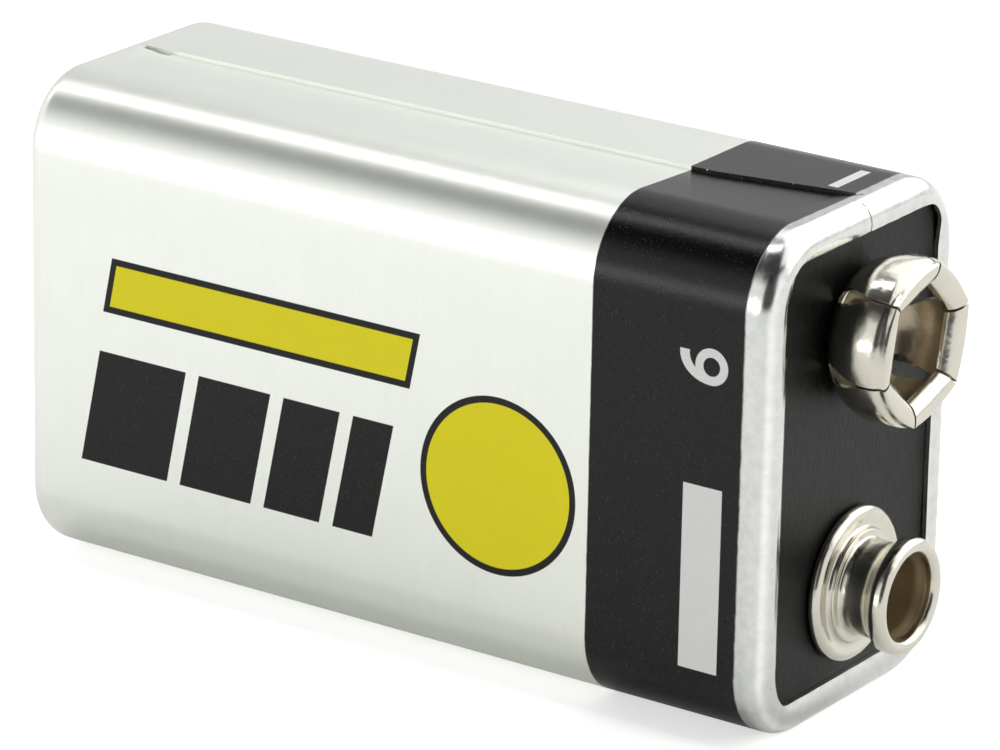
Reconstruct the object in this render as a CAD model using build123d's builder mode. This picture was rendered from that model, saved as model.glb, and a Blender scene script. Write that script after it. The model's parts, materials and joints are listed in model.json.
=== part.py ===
from build123d import *
import os
from math import atan2, cos, degrees, radians, sin, sqrt

# Nine volt battery, lying on its narrow side as it would on a table. Millimetres.
# X runs along the battery, with both snap terminals at the +X end.
# Y runs through its depth, and the wide faces look along -Y and +Y.
# Z is up. The jacket's lapped seam runs along the upper narrow face.
# The origin is on the resting face, under the middle of the overall box.

# Case
case_length = 44.0            # X, from rim to rim
case_depth = 16.6             # Y
case_width = 25.2             # Z
corner_radius = 3.8           # long edges of the case
sheet = 0.2                   # tinplate of the jacket
roll_radius = 1.05            # outside of the rolled rims
roll_hollow = 0.9             # from a rim's plane to where its hollow starts to narrow
lip_turn = 38.0               # degrees that a lip turns on past the top of its roll
lip_corner_radius = 1.3       # inner corners of the lips
opening_rise = 0.2            # from the middle of the case to that of the terminal opening
play = 0.05                   # between pieces that only slide into each other
seat_gap = 0.02               # between pieces that rest on each other

# Lapped seam
seam_offset = -0.1            # Y of the upper sheet's edge
lap_width = 4.0               # how far the lower sheet runs on under the upper one
lap_ramp = 1.4                # length over which the lower sheet comes up to a rim
corner_cut_length = 7.5       # slanting cut on the upper sheet's corner at the terminals
corner_cut_depth = 1.3
slit_width = 0.08             # where the two ends of the sheet meet in a rim
slit_offset = 0.3             # from the upper sheet's edge to the slit of the terminal rim
notch_start = 1.4             # short open notch of the seam near the base rim
notch_length = 1.6
notch_width = 0.3

# Terminal board and base cover
board_thickness = 1.0
skirt_thickness = 1.2         # standing wall under the board's edge
cover_thickness = 0.8
paper = 0.3                   # insulating fibre sheets
head_room = 0.2               # from a strap's upper arm to the sheet below it

# Snap terminals
terminal_pitch = 12.7
snap_sheet = 0.25             # nickel plated brass

socket_height = 3.8           # above the board
socket_foot_radius = 2.9
socket_bulge_radius = 4.1
socket_bulge_height = 2.35
socket_crest_apothem = 3.35
socket_tip_apothem = 2.5
socket_tip_drop = 0.75        # from the crest to the curled edge of a petal
socket_turn = -12.6           # degrees that the petals are turned from the battery's depth
petal_count = 6
petal_slit = 0.14
petal_flare = 60              # degrees of oval from the foot up to the bulge
relief_width = 1.1            # widening at the foot of a slit
relief_height = 2.2

stud_height = 3.6             # above the board
stud_flange_radius = 3.85
stud_flange_height = 0.75
stud_neck_radius = 2.2
stud_head_radius = 2.86
stud_land = 0.5               # length of the head's cylindrical band
stud_hole_radius = 2.13
stud_head_bevel = 0.2
stud_head_rise = 0.55         # cone from the neck out to the head

rivet_radius = 0.8
rivet_head_radius = 1.5
rivet_head_height = 0.4
rivet_shoulder_radius = 1.25  # where the head inside a terminal turns in a second time
rivet_shoulder_height = 0.25
rivet_top_radius = 1.0        # flat on top of that head

# Cells and nickel strip
cell_columns = 2              # along Y
cell_rows = 3                 # along Z
cell_gap = 0.05               # least room between neighbouring cells
cell_side_room = 0.225        # from the cells to the inside of the wide faces
cell_end_room = 0.4           # from the cells to the inside of the narrow sides
cell_nub_radius = 1.5
cell_nub_height = 0.5
strip = 0.15                  # nickel strip of links and straps
link_width = 4.0
strap_width = 4.0
strap_slot = 0.45             # width of the slot for a strap's leg
strap_end = 1.8               # how far a strap's arms pass the middle of what they join
wrap_sheet = 0.1
wrap_setback = 0.3            # from the cells' ends to the ends of the wrap

# Cuts across the corners of folded or stamped sheet, as shares of the rounding they replace
touching_cut = 2 - sqrt(2)    # one that just touches the rounding
second_cut = 0.25             # on the two corners that the first one leaves

# Flat bands that stand for a quarter of a roll or of a petal's bend
bend_bands = 3
small_bands = 2
petal_strips = 3              # side by side in a petal

# Heights along X, counted from the plane of the base rim
lip_underside = roll_radius - (roll_radius - sheet) * cos(radians(lip_turn))
lip_reach = roll_radius + (roll_radius - sheet) * sin(radians(lip_turn))
cover_face = lip_underside + seat_gap
cover_inside = cover_face + cover_thickness
base_paper = cover_inside + seat_gap
base_links = base_paper + paper + seat_gap
cells_start = base_links + strip
board_face = case_length - lip_underside - seat_gap
board_inside = board_face - board_thickness
rivet_bottom = board_inside - rivet_head_height
strap_top = rivet_bottom
top_paper = strap_top - strip - head_room - paper
top_links = top_paper - seat_gap - strip
cells_end = top_links
overall_length = board_face + socket_height
base_x = -overall_length / 2

# Across the case
middle = case_width / 2
inner_depth = case_depth - 2 * sheet - 2 * play
inner_width = case_width - 4 * sheet - 2 * play
inner_radius = corner_radius - sheet - play
rolled_edge = roll_radius - cover_face
terminal_offset = terminal_pitch / 2
cell_diameter = -cell_gap + min(
    (inner_depth - 2 * cell_side_room + cell_gap) / cell_columns,
    (inner_width - 2 * cell_end_room + cell_gap) / cell_rows,
)
cell_radius = cell_diameter / 2
wrap_inside = cell_radius + play
column_offset = inner_depth / 2 - cell_side_room - cell_radius
row_pitch = inner_width / 2 - cell_end_room - cell_radius
lap_start = -(case_depth / 2 - corner_radius)
rivet_hole = rivet_radius + play
rim_line = case_length - roll_radius
leg_outside = inner_depth / 2 - skirt_thickness - 4 * play


def cross_plane(height):
    """The plane across the battery at a height above the base rim: local x is Y, local y is Z."""
    return Plane(origin=(base_x + height, 0, middle), x_dir=(0, 1, 0), z_dir=(1, 0, 0))


def profile_plane(height, y, z, angle=0.0):
    """A plane for turned profiles: local x is the radius, local y the height along the battery."""
    out = (0, cos(radians(angle)), sin(radians(angle)))
    side = (0, sin(radians(angle)), -cos(radians(angle)))
    return Plane(origin=(base_x + height, y, middle + z), x_dir=out, z_dir=side)


def along_x(y, z):
    """The axis along the battery through a point of its section."""
    return Axis((0, y, middle + z), (1, 0, 0))


def oval_points(centre, reach, start, end, bands):
    """Points on an upright oval about a centre, between two turns in degrees."""
    turns = [radians(start + (end - start) * band / bands) for band in range(bands + 1)]
    return [(centre[0] + reach[0] * cos(turn), centre[1] + reach[1] * sin(turn)) for turn in turns]


def roll_sections(radius, turn, bands):
    """Insets and heights down a rolled rim's section, from its top through a turn in degrees.

    A negative turn goes out to the wall of the case, a positive one goes in to the lip.
    """
    return oval_points((roll_radius, roll_radius), (radius, radius), -90, turn - 90, bands)


def both_rims(sections):
    """The sections of one rim, then the same ones in turn at the other rim."""
    return sections + [(inset, case_length - height) for inset, height in reversed(sections)]


def tapered_rings(sections, mode=Mode.ADD):
    """Solid rings between sections of the case, each a rounded rectangle at its inset and height."""
    for (inset, height), (next_inset, next_height) in zip(sections, sections[1:]):
        with BuildSketch(cross_plane(height)) as section:
            RectangleRounded(case_depth - 2 * inset, case_width - 2 * inset, corner_radius - inset)
        rise = next_height - height
        lean = degrees(atan2(next_inset - inset, abs(rise)))
        extrude(section.sketch, amount=rise, taper=lean, mode=mode)


# The hollow of the jacket, with the step where the sheet doubles under the lap.
with BuildPart() as jacket_hollow:
    tapered_rings(both_rims([(roll_radius, sheet), (sheet, roll_hollow)]))
    with BuildSketch(cross_plane(roll_radius)):
        with BuildLine():
            Polyline(
                (lap_start, middle - sheet),
                (seam_offset, middle - 2 * sheet),
                (seam_offset + lap_width, middle - 2 * sheet),
                (seam_offset + lap_width, middle - sheet),
                close=True,
            )
        make_face()
    extrude(amount=case_length - 2 * roll_radius, mode=Mode.SUBTRACT)

# What is missing above the lower sheet: a wedge across the case that runs out at both rims.
with BuildPart() as lap_step:
    with BuildSketch(cross_plane(0)):
        with BuildLine():
            Polyline(
                (lap_start, middle),
                (seam_offset, middle - sheet),
                (seam_offset + lap_width, middle - sheet),
                (seam_offset + lap_width, middle + sheet),
                (lap_start, middle + sheet),
                close=True,
            )
        make_face()
    extrude(amount=case_length)
    with BuildSketch(Plane(origin=(base_x, 0, case_width), x_dir=(1, 0, 0), z_dir=(0, -1, 0))):
        with BuildLine():
            Polyline(
                (roll_radius, 0),
                (roll_radius + lap_ramp, -sheet),
                (rim_line - lap_ramp, -sheet),
                (rim_line, 0),
                (rim_line, sheet),
                (roll_radius, sheet),
                close=True,
            )
        make_face()
    extrude(amount=case_depth, both=True, mode=Mode.INTERSECT)
    with BuildSketch(Plane.XY.offset(case_width)):
        with BuildLine():
            Polyline(
                (base_x, lap_start),
                (base_x + case_length, lap_start),
                (base_x + rim_line, seam_offset + corner_cut_depth),
                (base_x + rim_line - corner_cut_length, seam_offset),
                (base_x, seam_offset),
                close=True,
            )
        make_face()
    extrude(amount=2 * sheet, both=True, mode=Mode.INTERSECT)

# One sheet, wrapped round, lapped along the upper face and rolled in at both ends.
with BuildPart() as jacket:
    tapered_rings(both_rims(roll_sections(roll_radius, -90, bend_bands)))
    add(jacket_hollow.part, mode=Mode.SUBTRACT)
    add(lap_step.part, mode=Mode.SUBTRACT)
    lip_inside = roll_sections(roll_radius - sheet, lip_turn, 1)
    lip_outside = roll_sections(roll_radius, lip_turn, 1)
    for lip, mode in ((lip_inside, Mode.ADD), (lip_outside, Mode.SUBTRACT)):
        tapered_rings(lip, mode)
        tapered_rings([(inset, case_length - height) for inset, height in lip], mode)
    for start, rise in ((0, 0), (rim_line, opening_rise)):
        with BuildSketch(cross_plane(start)):
            with Locations((0, rise)):
                RectangleRounded(
                    case_depth - 2 * lip_reach,
                    case_width - 2 * lip_reach,
                    lip_corner_radius,
                )
        extrude(amount=roll_radius, mode=Mode.SUBTRACT)
    with BuildSketch(cross_plane(0)):
        with Locations((seam_offset, middle)):
            Rectangle(slit_width, 2 * lip_reach)
    extrude(amount=roll_radius, mode=Mode.SUBTRACT)
    with BuildSketch(cross_plane(rim_line)):
        with Locations((seam_offset + slit_offset, middle)):
            Rectangle(slit_width, 2 * lip_reach)
    extrude(amount=roll_radius, mode=Mode.SUBTRACT)
    with BuildSketch(Plane.XY.offset(case_width - sheet)):
        with Locations((base_x + notch_start + notch_length / 2, seam_offset - notch_width / 2)):
            Rectangle(notch_length, notch_width)
    extrude(amount=sheet, mode=Mode.SUBTRACT)

# Terminal board: a moulded plate under the upper lip, with a skirt that stands on the cells' sheet.
with BuildPart() as terminal_board:
    with BuildSketch(cross_plane(board_inside)):
        RectangleRounded(inner_depth, inner_width, inner_radius)
        with Locations((0, terminal_offset), (0, -terminal_offset)):
            Circle(rivet_hole, mode=Mode.SUBTRACT)
    extrude(amount=board_thickness)
    with BuildSketch(cross_plane(top_paper + paper + seat_gap)):
        RectangleRounded(inner_depth, inner_width, inner_radius)
        with BuildSketch(mode=Mode.SUBTRACT) as pocket:
            Rectangle(inner_depth - 2 * skirt_thickness, inner_width - 2 * skirt_thickness)
            chamfer(pocket.vertices(), skirt_thickness)
    extrude(amount=board_inside - top_paper - paper - seat_gap)
    board_rim = terminal_board.faces().sort_by(Axis.X)[-1].outer_wire().edges()
    chamfer(board_rim, rolled_edge)

# Base cover: a plain moulded plate held under the base lip.
with BuildPart() as base_cover:
    with BuildSketch(cross_plane(cover_face)):
        RectangleRounded(inner_depth, inner_width, inner_radius)
    extrude(amount=cover_thickness)
    chamfer(base_cover.faces().sort_by(Axis.X)[0].edges(), rolled_edge)


def petal_side(angle, depth, shoulder_bands):
    """One face of a petal's sheet, from foot to tip, at an angle from the petal's middle.

    The foot and the bulge keep their radius, so they are round in plan. The crest and the
    curled tip keep their distance from the socket's flats, so they are straight in plan.
    """
    foot = socket_foot_radius - depth
    bulge = socket_bulge_radius - depth
    crest = socket_crest_apothem / cos(radians(angle))
    tip = socket_tip_apothem / cos(radians(angle)) + depth
    top = socket_height - depth
    tip_height = socket_height - socket_tip_drop
    flare_reach = (bulge - foot) / (1 - cos(radians(petal_flare)))
    flare_rise = socket_bulge_height / sin(radians(petal_flare))
    flare = oval_points(
        (bulge - flare_reach, socket_bulge_height), (flare_reach, flare_rise), -petal_flare, 0, small_bands
    )
    shoulder = oval_points(
        (crest, socket_bulge_height), (bulge - crest, top - socket_bulge_height), 0, 90, shoulder_bands
    )
    curl = oval_points((crest, tip_height), (crest - tip, top - tip_height), 90, 180, small_bands)
    return flare + shoulder[1:] + curl[1:]


# Negative terminal: one sheet stamping, a flat foot with six petals that bulge and curl in.
with BuildPart() as negative_socket:
    petal_angle = 360 / petal_count
    for petal in range(petal_count):
        for step in range(petal_strips + 1):
            angle = petal_angle * (step / petal_strips - 1 / 2)
            turn = socket_turn + petal_angle * petal + angle
            outer_face = petal_side(angle, 0, bend_bands)
            inner_face = petal_side(angle, snap_sheet, small_bands)
            with BuildSketch(profile_plane(board_face, 0, terminal_offset, turn)):
                with BuildLine():
                    Polyline(*outer_face, *reversed(inner_face), close=True)
                make_face()
        loft(ruled=True)
    with BuildSketch(cross_plane(board_face)):
        with Locations((0, terminal_offset)):
            Circle(socket_foot_radius)
    extrude(amount=snap_sheet)
    with BuildSketch(cross_plane(board_face)):
        with Locations((0, terminal_offset)):
            Circle(rivet_hole)
    extrude(amount=snap_sheet, mode=Mode.SUBTRACT)
    for petal in range(petal_count):
        turn = socket_turn + petal_angle * (petal + 1 / 2)
        out = (0, cos(radians(turn)), sin(radians(turn)))
        slit_plane = Plane(
            origin=(base_x + board_face + snap_sheet, 0, middle + terminal_offset),
            x_dir=(1, 0, 0),
            z_dir=out,
        )
        with BuildSketch(slit_plane):
            with BuildLine():
                relief_middle = relief_width / 2
                slit_half = petal_slit / 2
                relief_reach = (relief_middle, relief_middle)
                relief = oval_points((relief_middle, 0), relief_reach, 90, 270, bend_bands)
                Polyline(
                    (socket_height, slit_half),
                    (relief_height, slit_half),
                    *relief,
                    (relief_height, -slit_half),
                    (socket_height, -slit_half),
                    close=True,
                )
            make_face()
        extrude(amount=2 * socket_bulge_radius, mode=Mode.SUBTRACT)

# Positive terminal: one drawn sheet, a flange with a rolled edge, a neck and a rolled-in head.
with BuildPart() as positive_stud:
    with BuildSketch(profile_plane(board_face, 0, -terminal_offset)):
        with BuildLine():
            edge = stud_flange_height / 2
            head_roll = (stud_head_radius - stud_hole_radius) / 2
            head_top = stud_height - head_roll
            head_foot = head_top - stud_land
            stud_inside = stud_neck_radius - snap_sheet
            Polyline(
                (rivet_hole, 0),
                *oval_points((stud_flange_radius - edge, edge), (edge, edge), -90, 90, small_bands),
                (stud_neck_radius, stud_flange_height),
                (stud_neck_radius, head_foot - stud_head_rise),
                (stud_head_radius, head_foot),
                (stud_head_radius, head_top),
                (stud_head_radius - stud_head_bevel, stud_height),
                (stud_hole_radius + stud_head_bevel, stud_height),
                (stud_hole_radius, head_top),
                (stud_inside, head_foot),
                (stud_inside, snap_sheet),
                (rivet_hole, snap_sheet),
                close=True,
            )
        make_face()
    revolve(axis=along_x(0, -terminal_offset))


def make_rivet(z):
    """A rivet through the board: bevelled head inside the terminal, flat head above the strap."""
    with BuildPart() as rivet:
        with BuildSketch(profile_plane(rivet_bottom, 0, z)):
            with BuildLine():
                dome_foot = board_face + snap_sheet - rivet_bottom
                Polyline(
                    (0, 0),
                    (rivet_head_radius, 0),
                    (rivet_head_radius, rivet_head_height),
                    (rivet_radius, rivet_head_height),
                    (rivet_radius, dome_foot),
                    (rivet_head_radius, dome_foot),
                    (rivet_shoulder_radius, dome_foot + rivet_shoulder_height),
                    (rivet_top_radius, dome_foot + rivet_head_height),
                    (0, dome_foot + rivet_head_height),
                    close=True,
                )
            make_face()
        revolve(axis=along_x(0, z))
    return rivet


def make_strap(side):
    """A nickel strap, folded like a C, welded under a rivet and to the end of a cell."""
    rivet_z = side * terminal_offset
    cell_z = side * row_pitch
    arm_start = -side * strap_end
    leg = side * leg_outside
    foot_start = side * (column_offset - strap_end)
    with BuildPart() as strap:
        with BuildSketch(
            Plane(
                origin=(base_x, 0, middle + (rivet_z + cell_z) / 2),
                x_dir=(0, 1, 0),
                z_dir=(0, 0, -1),
            )
        ):
            with BuildLine():
                Polyline(
                    (arm_start, strap_top),
                    (leg, strap_top),
                    (leg, cells_end),
                    (foot_start, cells_end),
                )
                offset(amount=strip, side=Side.LEFT if side < 0 else Side.RIGHT)
            make_face()
        extrude(amount=strap_width / 2, both=True)
    return strap


def make_cell(column, row, nub_up):
    """A sealed round cell, with a nub on its positive end."""
    length = cells_end - cells_start
    y = column * column_offset
    z = row * row_pitch
    start = cells_start if nub_up else cells_end
    way = 1 if nub_up else -1
    with BuildPart() as cell:
        with BuildSketch(
            Plane(
                origin=(base_x + start, y, middle + z),
                x_dir=(0, way, 0),
                z_dir=(0, 0, -1),
            )
        ):
            with BuildLine():
                shoulder = length - cell_nub_height
                Polyline(
                    (0, 0),
                    (cell_radius, 0),
                    (cell_radius, shoulder),
                    (cell_nub_radius, shoulder),
                    (cell_nub_radius, length),
                    (0, length),
                    close=True,
                )
            make_face()
        revolve(axis=along_x(y, z))
    return cell


def make_link(height, y, z, across):
    """A flat nickel link between two cells, along Y where it lies across, else along Z."""
    size = (2 * column_offset + link_width, link_width)
    if not across:
        size = (link_width, row_pitch + link_width)
    with BuildPart() as link:
        with BuildSketch(cross_plane(height)):
            with Locations((y, z)):
                Rectangle(*size)
        extrude(amount=strip)
    return link


# Insulating sheet over the cells, with a slot for each strap's leg.
with BuildPart() as top_insulator:
    with BuildSketch(cross_plane(top_paper)) as paper_shape:
        Rectangle(inner_depth, inner_width)
        for cut in (touching_cut, second_cut):
            chamfer(paper_shape.vertices(), cut * inner_radius)
        slot_middle = leg_outside - strip / 2
        strap_z = (terminal_offset + row_pitch) / 2
        with Locations((slot_middle, strap_z), (-slot_middle, -strap_z)):
            Rectangle(strap_slot, strap_width + 2 * play, mode=Mode.SUBTRACT)
    extrude(amount=paper)

# Insulating sheet between the lower links and the base cover.
with BuildPart() as base_insulator:
    with BuildSketch(cross_plane(base_paper)) as paper_shape:
        Rectangle(inner_depth, inner_width)
        for cut in (touching_cut, second_cut):
            chamfer(paper_shape.vertices(), cut * inner_radius)
    extrude(amount=paper)

# Thin sleeve folded round the block of cells, with two creases at each of its corners.
with BuildPart() as cell_wrap:
    for radius, mode in ((wrap_inside + wrap_sheet, Mode.ADD), (wrap_inside, Mode.SUBTRACT)):
        with BuildSketch(cross_plane(cells_start + wrap_setback)) as sleeve:
            Rectangle(2 * (column_offset + radius), 2 * (row_pitch + radius))
            chamfer(sleeve.vertices(), touching_cut * radius)
        extrude(amount=cells_end - cells_start - 2 * wrap_setback, mode=mode)

pieces = {
    "jacket": jacket,
    "terminal_board": terminal_board,
    "negative_socket": negative_socket,
    "positive_stud": positive_stud,
    "negative_rivet": make_rivet(terminal_offset),
    "positive_rivet": make_rivet(-terminal_offset),
    "negative_strap": make_strap(1),
    "positive_strap": make_strap(-1),
    "top_insulator": top_insulator,
    "cell_wrap": cell_wrap,
    "base_insulator": base_insulator,
    "base_cover": base_cover,
}

# The cells stand in two columns and three rows, each one turned over against the one before.
cell_places = [(-1, -1), (1, -1), (1, 0), (-1, 0), (-1, 1), (1, 1)]
for number, (column, row) in enumerate(cell_places, start=1):
    pieces[f"cell_{number}"] = make_cell(column, row, nub_up=number % 2 == 1)

# Links join the cells in series: three at the base end, two at the terminal end.
for number, row in enumerate((-1, 0, 1), start=1):
    pieces[f"base_link_{number}"] = make_link(base_links, 0, row * row_pitch, across=True)
for number, side in enumerate((1, -1), start=1):
    link_z = -side * row_pitch / 2
    pieces[f"top_link_{number}"] = make_link(top_links, side * column_offset, link_z, across=False)

os.makedirs("parts", exist_ok=True)
for name, piece in pieces.items():
    piece.part.label = name
    export_step(piece.part, f"parts/{name}.step")
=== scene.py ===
import json
import math

import bmesh
import bpy
from mathutils import Matrix, Vector, noise


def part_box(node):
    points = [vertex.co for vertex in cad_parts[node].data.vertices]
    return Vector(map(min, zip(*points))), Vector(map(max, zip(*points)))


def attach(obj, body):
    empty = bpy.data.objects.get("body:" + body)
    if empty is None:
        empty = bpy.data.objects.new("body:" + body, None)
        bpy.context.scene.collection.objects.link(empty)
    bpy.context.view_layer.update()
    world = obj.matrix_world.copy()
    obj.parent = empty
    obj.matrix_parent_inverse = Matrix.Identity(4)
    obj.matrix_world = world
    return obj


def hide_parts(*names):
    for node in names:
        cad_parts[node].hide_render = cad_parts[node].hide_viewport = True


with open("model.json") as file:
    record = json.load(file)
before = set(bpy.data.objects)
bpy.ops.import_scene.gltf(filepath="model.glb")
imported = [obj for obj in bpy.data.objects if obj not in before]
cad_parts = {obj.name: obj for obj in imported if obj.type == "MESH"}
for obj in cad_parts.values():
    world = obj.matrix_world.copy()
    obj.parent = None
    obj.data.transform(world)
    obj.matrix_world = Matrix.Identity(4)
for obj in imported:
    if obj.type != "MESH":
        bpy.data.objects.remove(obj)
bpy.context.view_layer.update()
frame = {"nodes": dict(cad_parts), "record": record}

# Sizes in millimetres, as in the solids. Meshes are turned into metres when they are made.
MM = 0.001
MERGE = 1e-7                  # in metres: points nearer to each other than this become one
TINY = 1e-6                   # keeps a division from being by nothing
CASE_DEPTH, CASE_WIDTH = 16.6, 25.2
CORNER, SHEET, ROLL = 3.8, 0.2, 1.05
LIP_TURN, LIP_CORNER, OPENING_RISE = 38.0, 1.3, 0.2
LIP_REACH = (ROLL - SHEET) * math.sin(math.radians(LIP_TURN))
MIDDLE = CASE_WIDTH / 2
jacket_low, jacket_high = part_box("jacket")
BASE_RIM = jacket_low.x / MM
TERMINAL_RIM = jacket_high.x / MM
LENGTH = TERMINAL_RIM - BASE_RIM
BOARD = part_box("terminal_board")[1].x / MM
TERMINAL_OFFSET, RIVET_HOLE = 6.35, 0.85
SHADE_AND_TARNISH_TOP = 3.2             # how high over the board the terminals are painted darker inside: painted shade in the hollow, and tarnish
TURNED_STEPS = 128

# The lap on the upper face: where its upper sheet's edge lies, how that edge is cut off at the
# terminals, the slit in the rim, and the open notch near the base
SEAM, LAP_START, LAP_RAMP = -0.1, -4.5, 1.4
CUT_LENGTH, CUT_DEPTH = 7.5, 1.3
CUT_START = LENGTH - ROLL - CUT_LENGTH
SLIT_OFFSET, SLIT_DEPTH = 0.3, 0.16
NOTCH_START, NOTCH_MIDDLE, NOTCH_END = 1.4, 2.0, 3.0
NOTCH_DEPTH, NOTCH_SIDE = 0.3, 0.01

# How the sheet strays from true: how far, and how closely its waves follow each other
SEAM_STRAY, SEAM_WAVES, SEAM_SEED = 0.03, 1.7, 3
LIP_STRAY, LIP_WAVES = 0.035, 1.3
CRUMPLE, CRUMPLE_WAVES = 0.035, 3.1

# Steps of the jacket's mesh: over the lap, over the rest of that face, round a corner, along another
# face, over the lip and over the roll
LAP_STEPS, FREE_STEPS, CORNER_STEPS, FACE_STEPS, LIP_STEPS, ROLL_STEPS = 14, 20, 20, 12, 6, 16
# Columns of points about the upper sheet's edge and about the slit, and the one where either begins
SEAM_COLUMNS = (-0.31, -0.3, -0.2, -0.1, -0.05, -0.015, 0.0, 0.05, 0.1)
SLIT_COLUMNS = (-0.31, -0.3, -0.2, -0.1, -0.05, -0.03, 0.03, 0.05, 0.1)
EDGE_COLUMN = 5

# Printing: limits along the battery are from the base rim. Those across it are from the floor on the
# wide faces, and from the middle on the narrow ones.
BAND_START = 34.1             # where the black band begins
BARE_START = 42.5             # where it ends at the bare roll
BARE_BASE = 0.3               # the base roll is bare only on its top
FACE_DEPTH = 1.0              # how far under a face's plane its printing may reach
SLANT = 0.2                   # how far the bars lean for each millimetre up
BARS_START, BAR_WIDTHS, BAR_GAP, BARS_ACROSS = 2.4, (5.4, 4.4, 3.4, 2.4), 0.8, (5.9, 11.9)
STRIPE, STRIPE_EDGE = ((2.55, 20.55), (14.35, 16.55)), ((2.2, 20.9), (14.0, 16.9))
DISC_ALONG, DISC_ACROSS, DISC_RADIUS, DISC_EDGE = 28.9, 10.2, 4.15, 4.5
BOX = ((39.4, 41.55), (3.6, 12.85))
DASH, UPRIGHT = ((40.85, 41.4), (1.3, 4.3)), ((39.8, 42.3), (2.52, 3.08))
NUMERAL_ALONG, NUMERAL_ACROSS = 40.35, 18.8
BOWL_RISE, BOWL = 0.42, (0.46, 0.9)
TAIL_LEFT, TAIL_HEIGHT, TAIL, TAIL_ACROSS, TAIL_TOP = 0.5, 1.25, (0.98, 1.4), (-0.62, 2.0), 0.4

# Colours
SILVER_DULL, SILVER_BRIGHT = (0.83, 0.86, 0.80), (0.92, 0.945, 0.885)
INK, INK_WORN, INK_FLECK = (0.0015, 0.0015, 0.0015), (0.004, 0.004, 0.0038), (0.07, 0.07, 0.066)
YELLOW, WHITE = (0.84, 0.75, 0.003), (0.78, 0.79, 0.77)
# Bare steel: its dull colour, and the colour of the painted highlight on a roll's crown and of smudges
STEEL_DULL, STEEL_HIGHLIGHT_AND_SMUDGE = (0.66, 0.675, 0.65), (0.95, 0.955, 0.93)
NICKEL, RIVET_METAL = (0.705, 0.68, 0.595), (0.60, 0.46, 0.36)
# Inside the socket and the stud: painted shade, and tarnish
SOCKET_SHADE_AND_TARNISH, STUD_SHADE_AND_TARNISH = (0.42, 0.36, 0.27), (0.34, 0.27, 0.16)
PLASTIC, DUST = (0.0022, 0.0022, 0.002), (0.06, 0.06, 0.057)
STRIP, CAN = (0.72, 0.71, 0.68), (0.66, 0.66, 0.65)
FIBRE, FILM = (0.42, 0.36, 0.27), (0.50, 0.48, 0.42)
PAPER = (0.92, 0.92, 0.91)


# Meshes

def skin(name, rows, material, loop=True):
    """One smooth mesh through rows of points that close on themselves; the rows loop, or end in caps."""
    mesh = bpy.data.meshes.new(name)
    maker = bmesh.new()
    grid = [[maker.verts.new([value * MM for value in point]) for point in row] for row in rows]
    count, width = len(grid), len(grid[0])
    for i in range(count if loop else count - 1):
        for j in range(width):
            following, beside = (i + 1) % count, (j + 1) % width
            corners = [grid[i][j], grid[following][j], grid[following][beside], grid[i][beside]]
            maker.faces.new(corners)
    bmesh.ops.remove_doubles(maker, verts=maker.verts, dist=MERGE)
    if not loop:
        bmesh.ops.holes_fill(maker, edges=[edge for edge in maker.edges if edge.is_boundary], sides=0)
    bmesh.ops.recalc_face_normals(maker, faces=maker.faces)
    for face in maker.faces:
        face.smooth = True
    maker.to_mesh(mesh)
    maker.free()
    mesh.materials.append(material)
    piece = bpy.data.objects.new(name, mesh)
    bpy.context.scene.collection.objects.link(piece)
    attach(piece, "root")
    return piece


def sharpen(piece, degrees):
    """Keeps edges crisp where two faces meet at more than an angle."""
    piece.data.set_sharp_from_angle(angle=math.radians(degrees))


def round_edges(piece, width, steps, least_turn=math.radians(30)):
    """Rounds the edges where two faces meet at more than an angle in radians."""
    bevel = piece.modifiers.new("rounded", "BEVEL")
    bevel.width, bevel.segments = width * MM, steps
    bevel.limit_method, bevel.angle_limit = "ANGLE", least_turn


def turned(name, profile, offset, material):
    """A turned piece: a closed profile of (radius, height over the board), round an axis along X."""
    rows = []
    for step in range(TURNED_STEPS):
        turn = 2 * math.pi * step / TURNED_STEPS
        row = []
        for radius, height in profile:
            row.append((BOARD + height, radius * math.cos(turn), MIDDLE + offset + radius * math.sin(turn)))
        rows.append(row)
    return skin(name, rows, material)


def oval(centre, reach, start, end, steps, power=1.0):
    """Points on an upright oval about a centre, between two turns in degrees; a low power squares it."""
    found = []
    for step in range(steps + 1):
        turn = math.radians(start + (end - start) * step / steps)
        out, rise = math.cos(turn), math.sin(turn)
        out = math.copysign(abs(out) ** power, out)
        rise = math.copysign(abs(rise) ** power, rise)
        found.append((centre[0] + reach[0] * out, centre[1] + reach[1] * rise))
    return found


def spread(start, end, steps):
    """Evenly spaced values from a start up to but not including an end."""
    return [start + (end - start) * step / steps for step in range(steps)]


# Shader maths

# The sockets of a Mix node that mixes colours: its factor, the two colours, and what comes out
MIX_INPUTS, MIX_OUTPUT = (0, 6, 7), 2


class Value:
    """A socket of a node tree, for shader maths written as plain expressions."""

    def __init__(self, tree, socket):
        self.tree, self.socket = tree, socket

    def join(self, operation, *values):
        return self.tree.node("ShaderNodeMath", *values, settings={"operation": operation})

    def __add__(self, other):
        return self.join("ADD", self, other)

    def __radd__(self, other):
        return self.join("ADD", other, self)

    def __sub__(self, other):
        return self.join("SUBTRACT", self, other)

    def __rsub__(self, other):
        return self.join("SUBTRACT", other, self)

    def __mul__(self, other):
        return self.join("MULTIPLY", self, other)

    def __rmul__(self, other):
        return self.join("MULTIPLY", other, self)

    def __truediv__(self, other):
        return self.join("DIVIDE", self, other)

    def __gt__(self, other):
        return self.join("GREATER_THAN", self, other)

    def __lt__(self, other):
        return self.join("LESS_THAN", self, other)

    def __pow__(self, other):
        return self.join("POWER", self, other)

    def __abs__(self):
        return self.join("ABSOLUTE", self)

    def __or__(self, other):
        return self.join("MAXIMUM", self, other)


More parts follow.
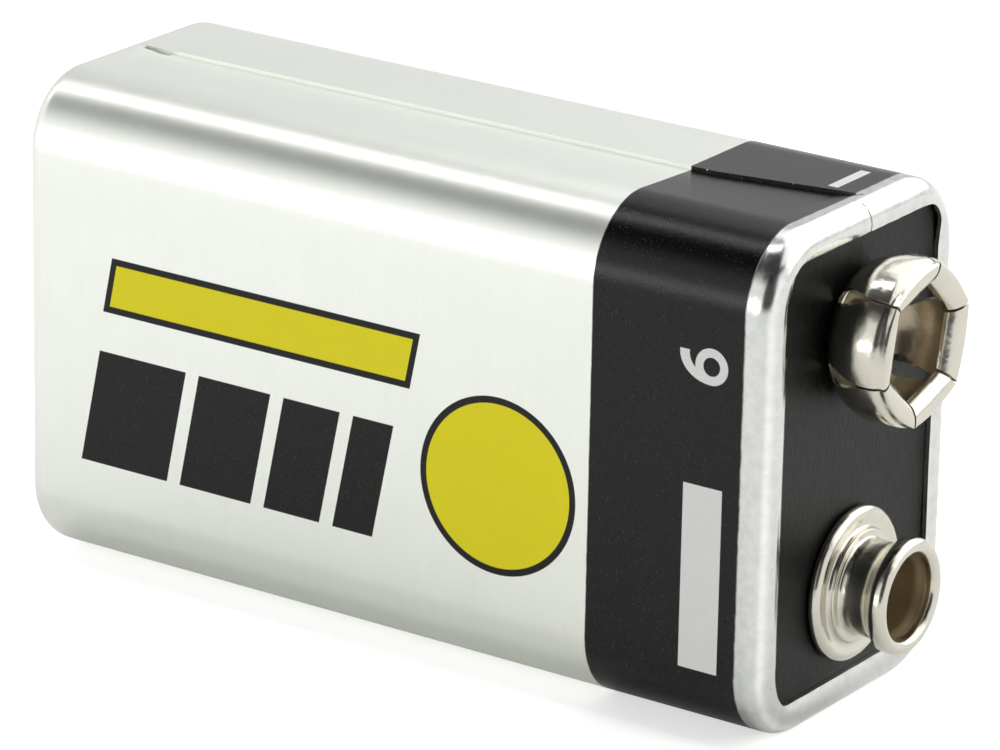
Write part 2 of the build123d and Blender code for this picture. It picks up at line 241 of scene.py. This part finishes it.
class Finish:
    """A material or world under construction."""

    def __init__(self, owner):
        owner.use_nodes = True
        self.owner = owner
        self.nodes = owner.node_tree.nodes
        self.links = owner.node_tree.links
        self.nodes.clear()

    def node(self, kind, *values, settings=None, output=0, **named):
        """Adds a node: its settings first, then what its sockets hold or are linked to."""
        made = self.nodes.new(kind)
        for key, value in (settings or {}).items():
            setattr(made, key, value)
        for number, value in enumerate(values):
            self.feed(made.inputs[number], value)
        for key, value in named.items():
            self.feed(made.inputs[key.replace("_", " ")], value)
        return Value(self, made.outputs[output]) if made.outputs else None

    def feed(self, socket, value):
        """Links a value to a socket, or sets what the socket holds."""
        if isinstance(value, Value):
            self.links.new(value.socket, socket)
        else:
            socket.default_value = (*value, 1) if socket.type == "RGBA" and len(value) == 3 else value

    def split(self, vector):
        """The three values of a vector."""
        outputs = self.node("ShaderNodeSeparateXYZ", vector).socket.node.outputs
        return [Value(self, output) for output in outputs]

    def place(self):
        """Where a point of the object is, in millimetres, as three values."""
        return [value * (1 / MM) for value in self.split(self.node("ShaderNodeTexCoord", output="Object"))]

    def facing(self):
        """Which way the surface faces at a point of the object, as three values."""
        return self.split(self.node("ShaderNodeTexCoord", output="Normal"))

    def noise(self, scale, stretch=(1, 1, 1), detail=2.0, roughness=0.5, seed=0.0):
        """Noise between 0 and 1, with its scale per millimetre, stretched along the axes."""
        x, y, z = self.place()
        point = self.node("ShaderNodeCombineXYZ", x * stretch[0], y * stretch[1], z * stretch[2] + seed)
        return self.node("ShaderNodeTexNoise", Vector=point, Scale=scale, Detail=detail, Roughness=roughness)

    def ramp(self, value, low, high, start=0.0, end=1.0):
        """A smooth step of a value from one level to another."""
        smooth = {"interpolation_type": "SMOOTHSTEP"}
        return self.node("ShaderNodeMapRange", value, low, high, start, end, settings=smooth)

    def below(self, value, limit, soft=0.02):
        """A mask that is 1 below a limit and 0 above it."""
        return self.ramp(value, limit - soft, limit + soft, 1.0, 0.0)

    def between(self, value, low, high, soft=0.02):
        """A mask that is 1 between two limits and 0 outside them."""
        return self.ramp(value, low - soft, low + soft) * self.below(value, high, soft)

    def patch(self, along, across, limits):
        """A mask that is 1 on a patch with limits along and across."""
        return self.between(along, *limits[0]) * self.between(across, *limits[1])

    def blend(self, factor, first, second):
        """A mix of two colours."""
        mixed = self.node("ShaderNodeMix", settings={"data_type": "RGBA"}, output=MIX_OUTPUT)
        for number, value in zip(MIX_INPUTS, (factor, first, second)):
            self.feed(mixed.socket.node.inputs[number], value)
        return mixed

    def bump(self, height, strength, distance):
        """A normal that follows a height, with the distance in millimetres."""
        return self.node("ShaderNodeBump", Height=height, Strength=strength, Distance=distance * MM)

    def seen_by(self, ray):
        """1 for one kind of ray, else 0."""
        return self.node("ShaderNodeLightPath", output=f"Is {ray} Ray")

    def surface(self, **named):
        """The shader with its values, and the output."""
        self.node("ShaderNodeOutputMaterial", self.node("ShaderNodeBsdfPrincipled", **named))
        return self.owner


def finish(name):
    return Finish(bpy.data.materials.new(name))


def shade(colour, level):
    return tuple(value * level for value in colour)


# Finishes

def numeral(f, along, y, z):
    """A plain numeral, its top towards the terminals and read downwards on both wide faces."""
    near = y < 0
    right = (z - NUMERAL_ACROSS) * (1 - near * 2)
    up = along - NUMERAL_ALONG - BOWL_RISE
    bowl = (right ** 2.0 + up ** 2.0) ** 0.5
    tail = ((right + TAIL_LEFT) ** 2.0 + (up / TAIL_HEIGHT) ** 2.0) ** 0.5
    hook = f.between(tail, *TAIL) * f.between(right, *TAIL_ACROSS) * f.below(up, TAIL_TOP - BOWL_RISE)
    return f.between(bowl, *BOWL) | hook


def print_masks(f, along, y, z):
    """The generic print: what is black and yellow on the wide faces, and what is white on the band."""
    wide_face = abs(y) > CASE_DEPTH / 2 - FACE_DEPTH
    upper_face = z > CASE_WIDTH - FACE_DEPTH
    lower_face = z < FACE_DEPTH
    slanted = along - z * SLANT
    bars, start = 0.0, BARS_START
    for width in BAR_WIDTHS:
        bars = f.between(slanted, start, start + width) | bars
        start += width + BAR_GAP
    bars = bars * f.between(z, *BARS_ACROSS)
    centre_distance = ((along - DISC_ALONG) ** 2.0 + (z - DISC_ACROSS) ** 2.0) ** 0.5
    edges = f.patch(slanted, z, STRIPE_EDGE) | f.below(centre_distance, DISC_EDGE)
    black = (bars | edges) * wide_face
    yellow = (f.patch(slanted, z, STRIPE) | f.below(centre_distance, DISC_RADIUS)) * wide_face
    dash = f.patch(along, y, DASH)
    cross = (dash | f.patch(along, y, UPRIGHT)) * lower_face
    white = (numeral(f, along, y, z) | f.patch(along, z, BOX)) * wide_face | dash * upper_face | cross
    return black, yellow, white


def bare_steel(f, along, y, z, wobble, band):
    """Where the tinplate is bare: on both rolls, and where the print has chipped off along the cut edge."""
    rolls = f.ramp(along - wobble, BARE_START - 0.05, BARE_START + 0.1)
    rolls = rolls | f.ramp(along + wobble, BARE_BASE, BARE_BASE + 0.1, 1.0, 0.0)
    edge = SEAM + CUT_DEPTH / CUT_LENGTH * ((along - CUT_START) | 0.0)
    at_edge = f.ramp(abs(y - edge), 0.0, 0.11, 1.0, 0.0) * (z > CASE_WIDTH - FACE_DEPTH)
    chips = f.ramp(f.noise(scale=1.3, detail=4.0, roughness=0.75, seed=14.0), 0.64, 0.68)
    return rolls | chips * at_edge * band


def printed_tinplate():
    """Brushed silver lacquer, a black band and plain fields of colour, and bare steel on the rolls with a
    painted highlight on their crowns.
    """
    f = finish("printed_tinplate")
    x, y, z = f.place()
    along = x - BASE_RIM
    brush = f.noise(scale=7.0, stretch=(1, 0.045, 0.045), detail=3.0, roughness=0.65)
    fine = f.noise(scale=20.0, stretch=(1, 0.08, 0.08), roughness=0.6, seed=4.0)
    speck = f.noise(scale=7.0, detail=4.0, roughness=0.8, seed=9.0)
    wander = f.noise(scale=0.35, seed=2.0)
    fleck = f.ramp(f.noise(scale=9.0, detail=1.0, seed=21.0), 0.64, 0.74)
    smudge = f.ramp(f.noise(scale=1.8, detail=4.0, roughness=0.65, seed=17.0), 0.35, 0.65)

    wobble = (f.noise(scale=1.6, detail=3.0, roughness=0.6, seed=1.0) - 0.5) * 0.12
    band = f.ramp(along - wobble * 0.4, BAND_START - 0.04, BAND_START + 0.04)
    bare = bare_steel(f, along, y, z, wobble, band)
    black, yellow, white = print_masks(f, along, y, z)
    printed = (band | black | yellow) * (1 - bare)

    streak = f.ramp(brush, 0.3, 0.75)
    silver = f.blend(wander * 0.5 + streak * 0.2 + speck * 0.3, SILVER_DULL, SILVER_BRIGHT)
    ink = f.blend(fleck * 0.4, f.blend(speck, INK, INK_WORN), INK_FLECK)
    colour = f.blend(band | black, silver, ink)
    colour = f.blend(yellow, colour, YELLOW)
    colour = f.blend(white * band, colour, WHITE)
    # Painted highlight: the crown of a roll is painted brightest, but less so where it faces up
    facing_along, _, facing_up = f.facing()
    painted_crown_highlight = f.between(abs(facing_along), 0.62, 0.86, soft=0.12) * f.ramp(facing_up, 0.1, 0.6, 1.0, 0.1)
    steel = f.blend(painted_crown_highlight * 0.7 + smudge * 0.3, STEEL_DULL, STEEL_HIGHLIGHT_AND_SMUDGE)
    colour = f.blend(bare, colour, steel)

    rough = (0.29 + brush * 0.1) * (1 - printed) + (0.12 + speck * 0.12) * printed
    rough = rough * (1 - bare) + (0.1 + speck * 0.1 + smudge * 0.08) * bare
    lines = (brush * 1.2 + fine * 0.6) * (1 - bare) * (1 - printed * 0.85)
    grain = lines + speck * (0.5 + printed * 2.5)
    return f.surface(
        Base_Color=colour,
        Metallic=(1 - printed) * (0.86 + bare * 0.14),
        Roughness=rough,
        Normal=f.bump(grain, strength=0.3, distance=0.012),
        Specular_IOR_Level=0.3,
    )


def nickel(name, base, rough, offset=None, shade_and_tarnish_colour=None, dulling=0.0):
    """Nickel plate, smooth but not flat; given a terminal's offset, painted darker and browner on the faces
    inside it: painted shade, and tarnish.
    """
    f = finish(name)
    wave = f.noise(scale=1.1, seed=3.0)
    scuff = f.noise(scale=14.0, detail=4.0, roughness=0.7, seed=5.0)
    colour = f.blend(wave, base, shade(base, 0.92))
    roughness = rough + scuff * 0.1
    if offset:
        x, y, z = f.place()
        side, top = z - (MIDDLE + offset), BOARD + SHADE_AND_TARNISH_TOP
        _, facing_y, facing_z = f.facing()
        outward = (y * facing_y + side * facing_z) / (y ** 2.0 + side ** 2.0) ** 0.5
        # Painted shade and tarnish: faces that look inward, below a height over the board, are painted
        # darker and browner
        inner_shade_and_tarnish = f.ramp(outward, -0.8, -0.3, 1.0, 0.0) * f.ramp(x, top - 0.3, top, 1.0, 0.0)
        colour = f.blend(inner_shade_and_tarnish, colour, shade_and_tarnish_colour)
        roughness = roughness + inner_shade_and_tarnish * dulling
    bump = f.bump(wave * 0.8 + scuff * 0.05, strength=0.35, distance=0.10)
    return f.surface(Base_Color=colour, Metallic=1.0, Roughness=roughness, Normal=bump)


def black_plastic():
    """Moulded plastic with a fine grain, a greyish mottle and a few pale specks."""
    f = finish("black_plastic")
    fine = f.noise(scale=18.0, detail=4.0, roughness=0.7, seed=1.0)
    broad = f.noise(scale=1.2, seed=6.0)
    dust = f.ramp(f.noise(scale=4.0, roughness=0.6, seed=8.0), 0.70, 0.76)
    mottle = f.noise(scale=5.0, stretch=(1, 1, 0.5), detail=4.0, roughness=0.75, seed=2.0)
    mottle = f.ramp(mottle, 0.35, 0.75)
    tone = f.blend(mottle * 0.7 + broad * 0.3, PLASTIC, shade(PLASTIC, 5))
    tone = f.blend(dust * 0.5, tone, DUST)
    bump = f.bump(fine * 0.5 + mottle, strength=0.35, distance=0.03)
    return f.surface(Base_Color=tone, Roughness=0.3 + fine * 0.15, Normal=bump, Specular_IOR_Level=0.2)


def strip_metal(name, colour, rough):
    """Rolled strip or a drawn can, with lines along the battery."""
    f = finish(name)
    lines = f.noise(scale=12.0, stretch=(0.1, 1, 1), detail=3.0, roughness=0.6)
    tone = f.blend(lines, colour, shade(colour, 0.85))
    bump = f.bump(lines, strength=0.2, distance=0.01)
    return f.surface(Base_Color=tone, Metallic=1.0, Roughness=rough + lines * 0.1, Normal=bump)


def fibre(name, colour):
    """Pressed fibre sheet or film, with short fibres."""
    f = finish(name)
    strands = f.noise(scale=7.0, stretch=(1, 0.3, 1), detail=4.0, roughness=0.7)
    tone = f.blend(strands, colour, shade(colour, 0.8))
    bump = f.bump(strands, strength=0.4, distance=0.03)
    return f.surface(Base_Color=tone, Roughness=0.75 + strands * 0.1, Normal=bump)


tinplate = printed_tinplate()
stud_nickel = nickel("stud_nickel", NICKEL, 0.13, -TERMINAL_OFFSET, STUD_SHADE_AND_TARNISH, dulling=0.4)
socket_nickel = nickel("socket_nickel", NICKEL, 0.13, TERMINAL_OFFSET, SOCKET_SHADE_AND_TARNISH, dulling=0.06)
finishes = {
    "black_plastic": black_plastic(),
    "nickel_plate": socket_nickel,
    "rivet_brass": nickel("rivet_metal", RIVET_METAL, rough=0.2),
    "nickel_strip": strip_metal("nickel_strip", STRIP, rough=0.25),
    "fibre_sheet": fibre("fibre_sheet", FIBRE),
    "wrap_film": fibre("wrap_film", FILM),
    "cell_can": strip_metal("cell_can", CAN, rough=0.28),
    "printed_tinplate": tinplate,
}
for part in frame["record"]["subparts"]:
    node = frame["nodes"][part["node"]]
    node.data.materials.clear()
    node.data.materials.append(finishes[part["material_slot"]])


# Jacket

def seam_place(along):
    """Where the upper sheet's edge lies across the case, at a distance from the base rim."""
    cut = CUT_DEPTH * min(max((along - CUT_START) / CUT_LENGTH, 0), 1)
    return SEAM + cut + SEAM_STRAY * noise.noise(Vector((along * SEAM_WAVES, 0, SEAM_SEED)))


def upper_face(along, rolled):
    """Points across the upper face as (y, drop below it): the lap's step, the notch and the rim's slit."""
    seam = SEAM + SLIT_OFFSET if rolled else seam_place(along)
    columns = [seam + column for column in (SLIT_COLUMNS if rolled else SEAM_COLUMNS)]
    places = spread(LAP_START, columns[0], LAP_STEPS) + columns
    places += spread(columns[-1], -LAP_START, FREE_STEPS)[1:]
    edge = LAP_STEPS + EDGE_COLUMN
    ramp = min(max(min(along, LENGTH - along) - ROLL, 0) / LAP_RAMP, 1)
    found = []
    for number, y in enumerate(places):
        drop = 0
        if rolled:
            at_terminals = along > LENGTH / 2
            drop = SLIT_DEPTH if at_terminals and number in (edge, edge + 1) else 0
        elif LAP_STEPS < number <= edge and NOTCH_START <= along <= NOTCH_END:
            drop = NOTCH_DEPTH
        elif number <= edge:
            drop = SHEET * ramp * (y - LAP_START) / (places[edge] - LAP_START)
        found.append((y, drop))
    return found


def girth(along, rolled):
    """Points round the case's outside as (y, z, drop, outward way), from the lap's start on."""
    half_y, half_z = CASE_DEPTH / 2 - CORNER, CASE_WIDTH / 2 - CORNER
    found = [(y, CASE_WIDTH / 2, drop, (0, 1)) for y, drop in upper_face(along, rolled)]
    corners = [((1, 1), 90), ((1, -1), 0), ((-1, -1), -90), ((-1, 1), -180)]
    for number, (side, start) in enumerate(corners):
        centre = (side[0] * half_y, side[1] * half_z)
        for turn in spread(start, start - 90, CORNER_STEPS):
            way = (math.cos(math.radians(turn)), math.sin(math.radians(turn)))
            found.append((centre[0] + CORNER * way[0], centre[1] + CORNER * way[1], 0, way))
        if number < len(corners) - 1:
            way = (round(math.cos(math.radians(start - 90))), round(math.sin(math.radians(start - 90))))
            next_side = corners[number + 1][0]
            for share in spread(0, 1, FACE_STEPS):
                y = half_y * (side[0] + (next_side[0] - side[0]) * share) + CORNER * way[0]
                z = half_z * (side[1] + (next_side[1] - side[1]) * share) + CORNER * way[1]
                found.append((y, z, 0, way))
    return found


def lip_limit(way, rise):
    """How far in the lip's edge lies, for an outward way: its inner corners are tighter."""
    out_y, out_z = abs(way[0]), abs(way[1])
    side = CORNER - ROLL - LIP_REACH
    top = side + (rise if way[1] > 0 else -rise)
    flat = min(side / max(out_y, TINY), top / max(out_z, TINY))
    centre_y, centre_z = side - LIP_CORNER, top - LIP_CORNER
    if flat * out_y > centre_y and flat * out_z > centre_z:
        along = centre_y * out_y + centre_z * out_z
        flat = along + math.sqrt(along * along - centre_y ** 2 - centre_z ** 2 + LIP_CORNER ** 2)
    return CORNER - flat


def lip_point(radius, limit, share):
    """Inset and depth of a point on the lip, at a share of the way from the roll's top to its edge."""
    past = (limit - ROLL) * math.sin(share * math.pi / 2)
    stretch = max(1, (limit - ROLL) / LIP_REACH)
    return ROLL + past, ROLL - math.sqrt(radius ** 2 - (past / stretch) ** 2)


def rim_row(radius, rim, way, turn=None, share=None):
    """A row of points round a rim: on the roll at a turn from its top, or at a share of its lip."""
    at_terminals = way < 0
    row = []
    for y, z, drop, out in girth(LENGTH if at_terminals else 0, True):
        # 1 at the middle of a corner, 0 on the flat sides
        corner = 4 * (out[0] * out[1]) ** 2
        bulge = noise.noise(Vector((y * CRUMPLE_WAVES, z * CRUMPLE_WAVES, rim)))
        sunk = CRUMPLE * corner * (1 + bulge) / 2 + drop
        if share is None:
            inset = ROLL - radius * math.sin(math.radians(turn))
            depth = ROLL - radius * math.cos(math.radians(turn))
            sunk *= 1 - turn / 90
        else:
            stray = LIP_STRAY * noise.noise(Vector((y * LIP_WAVES, z * LIP_WAVES, rim)))
            limit = lip_limit(out, OPENING_RISE if at_terminals else 0) + stray
            inset, depth = lip_point(radius, limit, share)
        row.append((rim + way * (depth + sunk), y - out[0] * inset, MIDDLE + z - out[1] * inset))
    return row


def wall_row(along, inset):
    """A row of points round the straight part of the case."""
    row = []
    for y, z, drop, out in girth(along, False):
        row.append((BASE_RIM + along, y - out[0] * inset, MIDDLE + z - out[1] * inset - drop))
    return row


def rim_rows(radius, rim, way):
    """Rows from the lip's edge over the roll's top to where the straight wall begins."""
    lip = [rim_row(radius, rim, way, share=1 - step / LIP_STEPS) for step in range(LIP_STEPS)]
    return lip + [rim_row(radius, rim, way, turn=turn) for turn in spread(0, 90, ROLL_STEPS)]


# Rows lie close where the seam shows against the band, and closest where the lap runs out
WALL_END = LENGTH - ROLL
FAR_START, CLOSE_START, LAP_END = 3.5, 34, WALL_END - LAP_RAMP
FAR_ROWS, CLOSE_ROWS, LAP_ROWS = 30, 40, 6
stations = [ROLL, NOTCH_START - NOTCH_SIDE, NOTCH_START, NOTCH_MIDDLE]
stations += [ROLL + LAP_RAMP, NOTCH_END, NOTCH_END + NOTCH_SIDE]
stations += spread(FAR_START, CLOSE_START, FAR_ROWS)
stations += spread(CLOSE_START, LAP_END, CLOSE_ROWS)
stations += spread(LAP_END, WALL_END, LAP_ROWS) + [WALL_END]
outside = rim_rows(ROLL, TERMINAL_RIM, -1)
outside += [wall_row(along, 0) for along in reversed(stations)]
outside += rim_rows(ROLL, BASE_RIM, 1)[::-1]
# The wall's inside lies two sheets in, clear of the lap's step
inside = rim_rows(ROLL - SHEET, TERMINAL_RIM, -1)
inside += [wall_row(along, 2 * SHEET) for along in (WALL_END, ROLL)]
inside += rim_rows(ROLL - SHEET, BASE_RIM, 1)[::-1]
jacket = skin("printed_jacket", outside + inside[::-1], tinplate)
sharpen(jacket, 40)
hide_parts("jacket")


# Terminals

# The stud's section: flange, step up to the boss, boss, neck, underside of the head, head, and inside
stud_profile = (
    [(RIVET_HOLE, 0.0)]
    + oval((3.55, 0.30), (0.30, 0.30), -90, 60, 10)
    + oval((3.45, 0.30), (0.36, 0.36), 60, 100, 4)
    + [(3.25, 0.60), (3.05, 0.54), (2.92, 0.55), (2.84, 0.62), (2.80, 0.74)]
    + oval((2.70, 0.80), (0.09, 0.09), 0, 90, 4)
    + [(2.55, 0.89), (2.44, 0.92), (2.38, 1.02), (2.36, 1.4), (2.36, 2.0)]
    + [(2.38, 2.2), (2.43, 2.35), (2.53, 2.48), (2.68, 2.60), (2.80, 2.72)]
    + oval((2.495, 3.10), (0.365, 0.30), -10, 0, 2)
    + oval((2.495, 3.235), (0.365, 0.365), 0, 180, 20)
    + [(2.12, 3.0), (2.06, 2.8), (1.97, 2.6), (1.95, 2.4), (1.95, 0.35), (1.85, 0.25), (RIVET_HOLE, 0.25)]
)
stud = turned("snap_stud", stud_profile, -TERMINAL_OFFSET, stud_nickel)
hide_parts("positive_stud")

for side in ("negative", "positive"):
    round_edges(frame["nodes"][f"{side}_rivet"], width=0.12, steps=3)

# The socket's sizes, as in the solids: heights over the board, and how far the flats lie from the middle
SOCKET_TURN, SOCKET_HEIGHT = -12.6, 3.8
FOOT_RADIUS, BULGE_RADIUS, BULGE_HEIGHT = 2.9, 4.1, 2.35
CREST_FLAT, TIP_FLAT, TIP_DROP = 3.35, 2.5, 0.75
FLARE, SNAP_SHEET = 60, 0.25
SLIT_HALF, RELIEF_RADIUS, RELIEF_TOP = 0.07, 0.55, 2.2
PETALS = 6
# Not in the solids: how square the shoulder is, the crease in it, and the steps of a petal's mesh
SHOULDER_POWER = 0.72
CREASE, CREASE_SPREAD = 0.08, 4
PETAL_STEPS, HALF_PETAL_COLUMNS = 12, 8


def petal_line(angle, depth):
    """One face of a petal's sheet from foot to tip, as (radius, height), at an angle from its middle."""
    straight = 1 / math.cos(math.radians(angle))
    foot, bulge = FOOT_RADIUS - depth, BULGE_RADIUS - depth
    crest, tip = CREST_FLAT * straight, TIP_FLAT * straight + depth
    top, tip_height = SOCKET_HEIGHT - depth, SOCKET_HEIGHT - TIP_DROP
    flare_turn = math.radians(FLARE)
    flare = ((bulge - foot) / (1 - math.cos(flare_turn)), BULGE_HEIGHT / math.sin(flare_turn))
    shoulder = (bulge - crest, top - BULGE_HEIGHT)
    line = oval((bulge - flare[0], BULGE_HEIGHT), flare, -FLARE, 0, PETAL_STEPS)
    above = oval((crest, BULGE_HEIGHT), shoulder, 0, 90, 2 * PETAL_STEPS, SHOULDER_POWER)[1:]
    for number, (radius, height) in enumerate(above):
        crease = CREASE * math.exp(-((number - PETAL_STEPS) / CREASE_SPREAD) ** 2)
        line.append((radius - crease, height - crease))
    return line + oval((crest, tip_height), (crest - tip, top - tip_height), 90, 180, PETAL_STEPS)[1:]


def slit_half_width(height):
    """Half the width of the slit beside a petal, at a height over the foot's upper face."""
    if height <= 0:
        return 0
    if height < RELIEF_RADIUS:
        return max(math.sqrt(RELIEF_RADIUS ** 2 - (height - RELIEF_RADIUS) ** 2), SLIT_HALF)
    share = min((height - RELIEF_RADIUS) / (RELIEF_TOP - RELIEF_RADIUS), 1)
    return RELIEF_RADIUS + (SLIT_HALF - RELIEF_RADIUS) * share


def petal(number):
    """Rows across one sprung petal, each round its sheet's section."""
    half_angle = 180 / PETALS
    rows = []
    for step in range(2 * HALF_PETAL_COLUMNS + 1):
        across = step / HALF_PETAL_COLUMNS - 1
        row = []
        for depth in (0.0, SNAP_SHEET):
            face = []
            for index, (radius, height) in enumerate(petal_line(across * half_angle, depth)):
                slit = math.degrees(math.asin(slit_half_width(height - SNAP_SHEET) / radius))
                angle = across * (half_angle - slit)
                radius = petal_line(angle, depth)[index][0]
                way = math.radians(SOCKET_TURN + 2 * half_angle * number + angle)
                y, z = radius * math.cos(way), radius * math.sin(way)
                face.append((BOARD + height, y, MIDDLE + TERMINAL_OFFSET + z))
            row += face if depth == 0 else face[::-1]
        rows.append(row)
    return rows


for number in range(PETALS):
    piece = skin(f"socket_petal_{number + 1}", petal(number), socket_nickel, loop=False)
    sharpen(piece, 50)
    round_edges(piece, width=0.05, steps=2, least_turn=0.9)
    if number == 0:
        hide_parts("negative_socket")
foot_profile = [(RIVET_HOLE, 0.0), (FOOT_RADIUS, 0.0), (2.98, 0.12)]
foot_profile += [(3.0, SNAP_SHEET), (2.7, SNAP_SHEET), (RIVET_HOLE, SNAP_SHEET)]
turned("socket_foot", foot_profile, TERMINAL_OFFSET, socket_nickel)


# Floor, light and camera. Places and sizes are in metres here.

FLOOR_REACH = 1.5
LOOKED_AT = (0, 0, 0.012)     # where the lamps point
# The way from the battery to the part of the room that is dark, and stays unlit in the metal
DARK_WAY = (0.532, -0.778, 0.335)


def stage_floor():
    """A pale floor that shows white to the camera and less so in the metal, and takes the shadow."""
    maker = bmesh.new()
    for side_x, side_y in ((-1, -1), (1, -1), (1, 1), (-1, 1)):
        maker.verts.new((side_x * FLOOR_REACH, side_y * FLOOR_REACH, 0))
    maker.faces.new(maker.verts)
    mesh = bpy.data.meshes.new("floor")
    maker.to_mesh(mesh)
    maker.free()
    f = finish("floor_paper")
    f.surface(
        Base_Color=PAPER,
        Roughness=0.9,
        Emission_Color=f.seen_by("Camera") * 0.6 + f.seen_by("Glossy") * 0.08,
        Emission_Strength=1.0,
    )
    mesh.materials.append(f.owner)
    floor = bpy.data.objects.new("floor", mesh)
    bpy.context.scene.collection.objects.link(floor)


def studio():
    """A room that is bright low down and dark overhead and in one direction, and white to the camera."""
    world = bpy.data.worlds.new("studio")
    bpy.context.scene.world = world
    f = Finish(world)
    x, y, z = f.split(f.node("ShaderNodeTexCoord", output="Generated"))
    # In front it darkens above a height; behind, it fades slowly and is brighter on the right
    front = f.ramp(z, 0.46, 0.70, 1.0, 0.05)
    rear = f.ramp(z, 0.3, 0.9, 0.72, 0.35) + f.ramp(x, -0.35, 0.1, 0.0, 0.2)
    behind = f.ramp(y, 0.0, 0.3)
    level = front * (1 - behind) + rear * behind
    towards_dark = x * DARK_WAY[0] + y * DARK_WAY[1] + z * DARK_WAY[2]
    level = level * f.ramp(towards_dark, 0.82, 0.93, 1.0, 0.08)
    seen = f.seen_by("Camera") | f.seen_by("Transmission")
    backdrop = f.node("ShaderNodeBackground", (1, 1, 1), seen + level * (1 - seen))
    f.node("ShaderNodeOutputWorld", backdrop)


def area_light(name, place, size, level):
    """A soft box that looks at the battery, with its level as a surface's brightness."""
    data = bpy.data.lights.new(name, "AREA")
    data.shape, data.size, data.size_y = "RECTANGLE", *size
    data.energy = level * math.pi * size[0] * size[1]
    light = bpy.data.objects.new(name, data)
    light.location = place
    light.rotation_euler = (Vector(LOOKED_AT) - Vector(place)).to_track_quat("-Z", "Y").to_euler()
    bpy.context.scene.collection.objects.link(light)


stage_floor()
studio()
area_light("front_softbox", place=(-0.37, -0.60, 0.05), size=(0.8, 0.15), level=2.8)
area_light("top_softbox", place=(-0.37, 0.0, 0.60), size=(0.045, 0.8), level=9.0)
area_light("back_softbox", place=(0.25, 0.45, 0.60), size=(1.6, 1.2), level=1.2)

# The camera, as it stood: turned to the right of the wide face, above it, and tilted a little.
# The distance, the shifts and the middle that they start from are in millimetres.
AZIMUTH, ELEVATION, TILT = math.radians(34.37725), math.radians(19.56705), math.radians(1.09641)
DISTANCE, SHIFT_RIGHT, SHIFT_UP = 290.3997, 1.03215, -0.56359
VIEW_MIDDLE = (-1.7, 0, MIDDLE)
SENSOR, LENS = 36, 212.12
NEAREST, FARTHEST = 0.01, 10
back = Vector((
    math.sin(AZIMUTH) * math.cos(ELEVATION), -math.cos(AZIMUTH) * math.cos(ELEVATION), math.sin(ELEVATION)
))
right = (-back).cross(Vector((0, 0, 1))).normalized()
up = right.cross(-back)
tilted_right = right * math.cos(TILT) + up * math.sin(TILT)
tilted_up = up * math.cos(TILT) - right * math.sin(TILT)
aim = Vector(VIEW_MIDDLE) + tilted_right * SHIFT_RIGHT + tilted_up * SHIFT_UP
camera_data = bpy.data.cameras.new("camera")
camera_data.sensor_width, camera_data.lens = SENSOR, LENS
camera_data.clip_start, camera_data.clip_end = NEAREST, FARTHEST
camera = bpy.data.objects.new("camera", camera_data)
camera.location = (aim + back * DISTANCE) * MM
camera.rotation_euler = Matrix((tilted_right, tilted_up, back)).transposed().to_euler()
bpy.context.scene.collection.objects.link(camera)
bpy.context.scene.camera = camera

bpy.context.scene.view_settings.view_transform = "Standard"
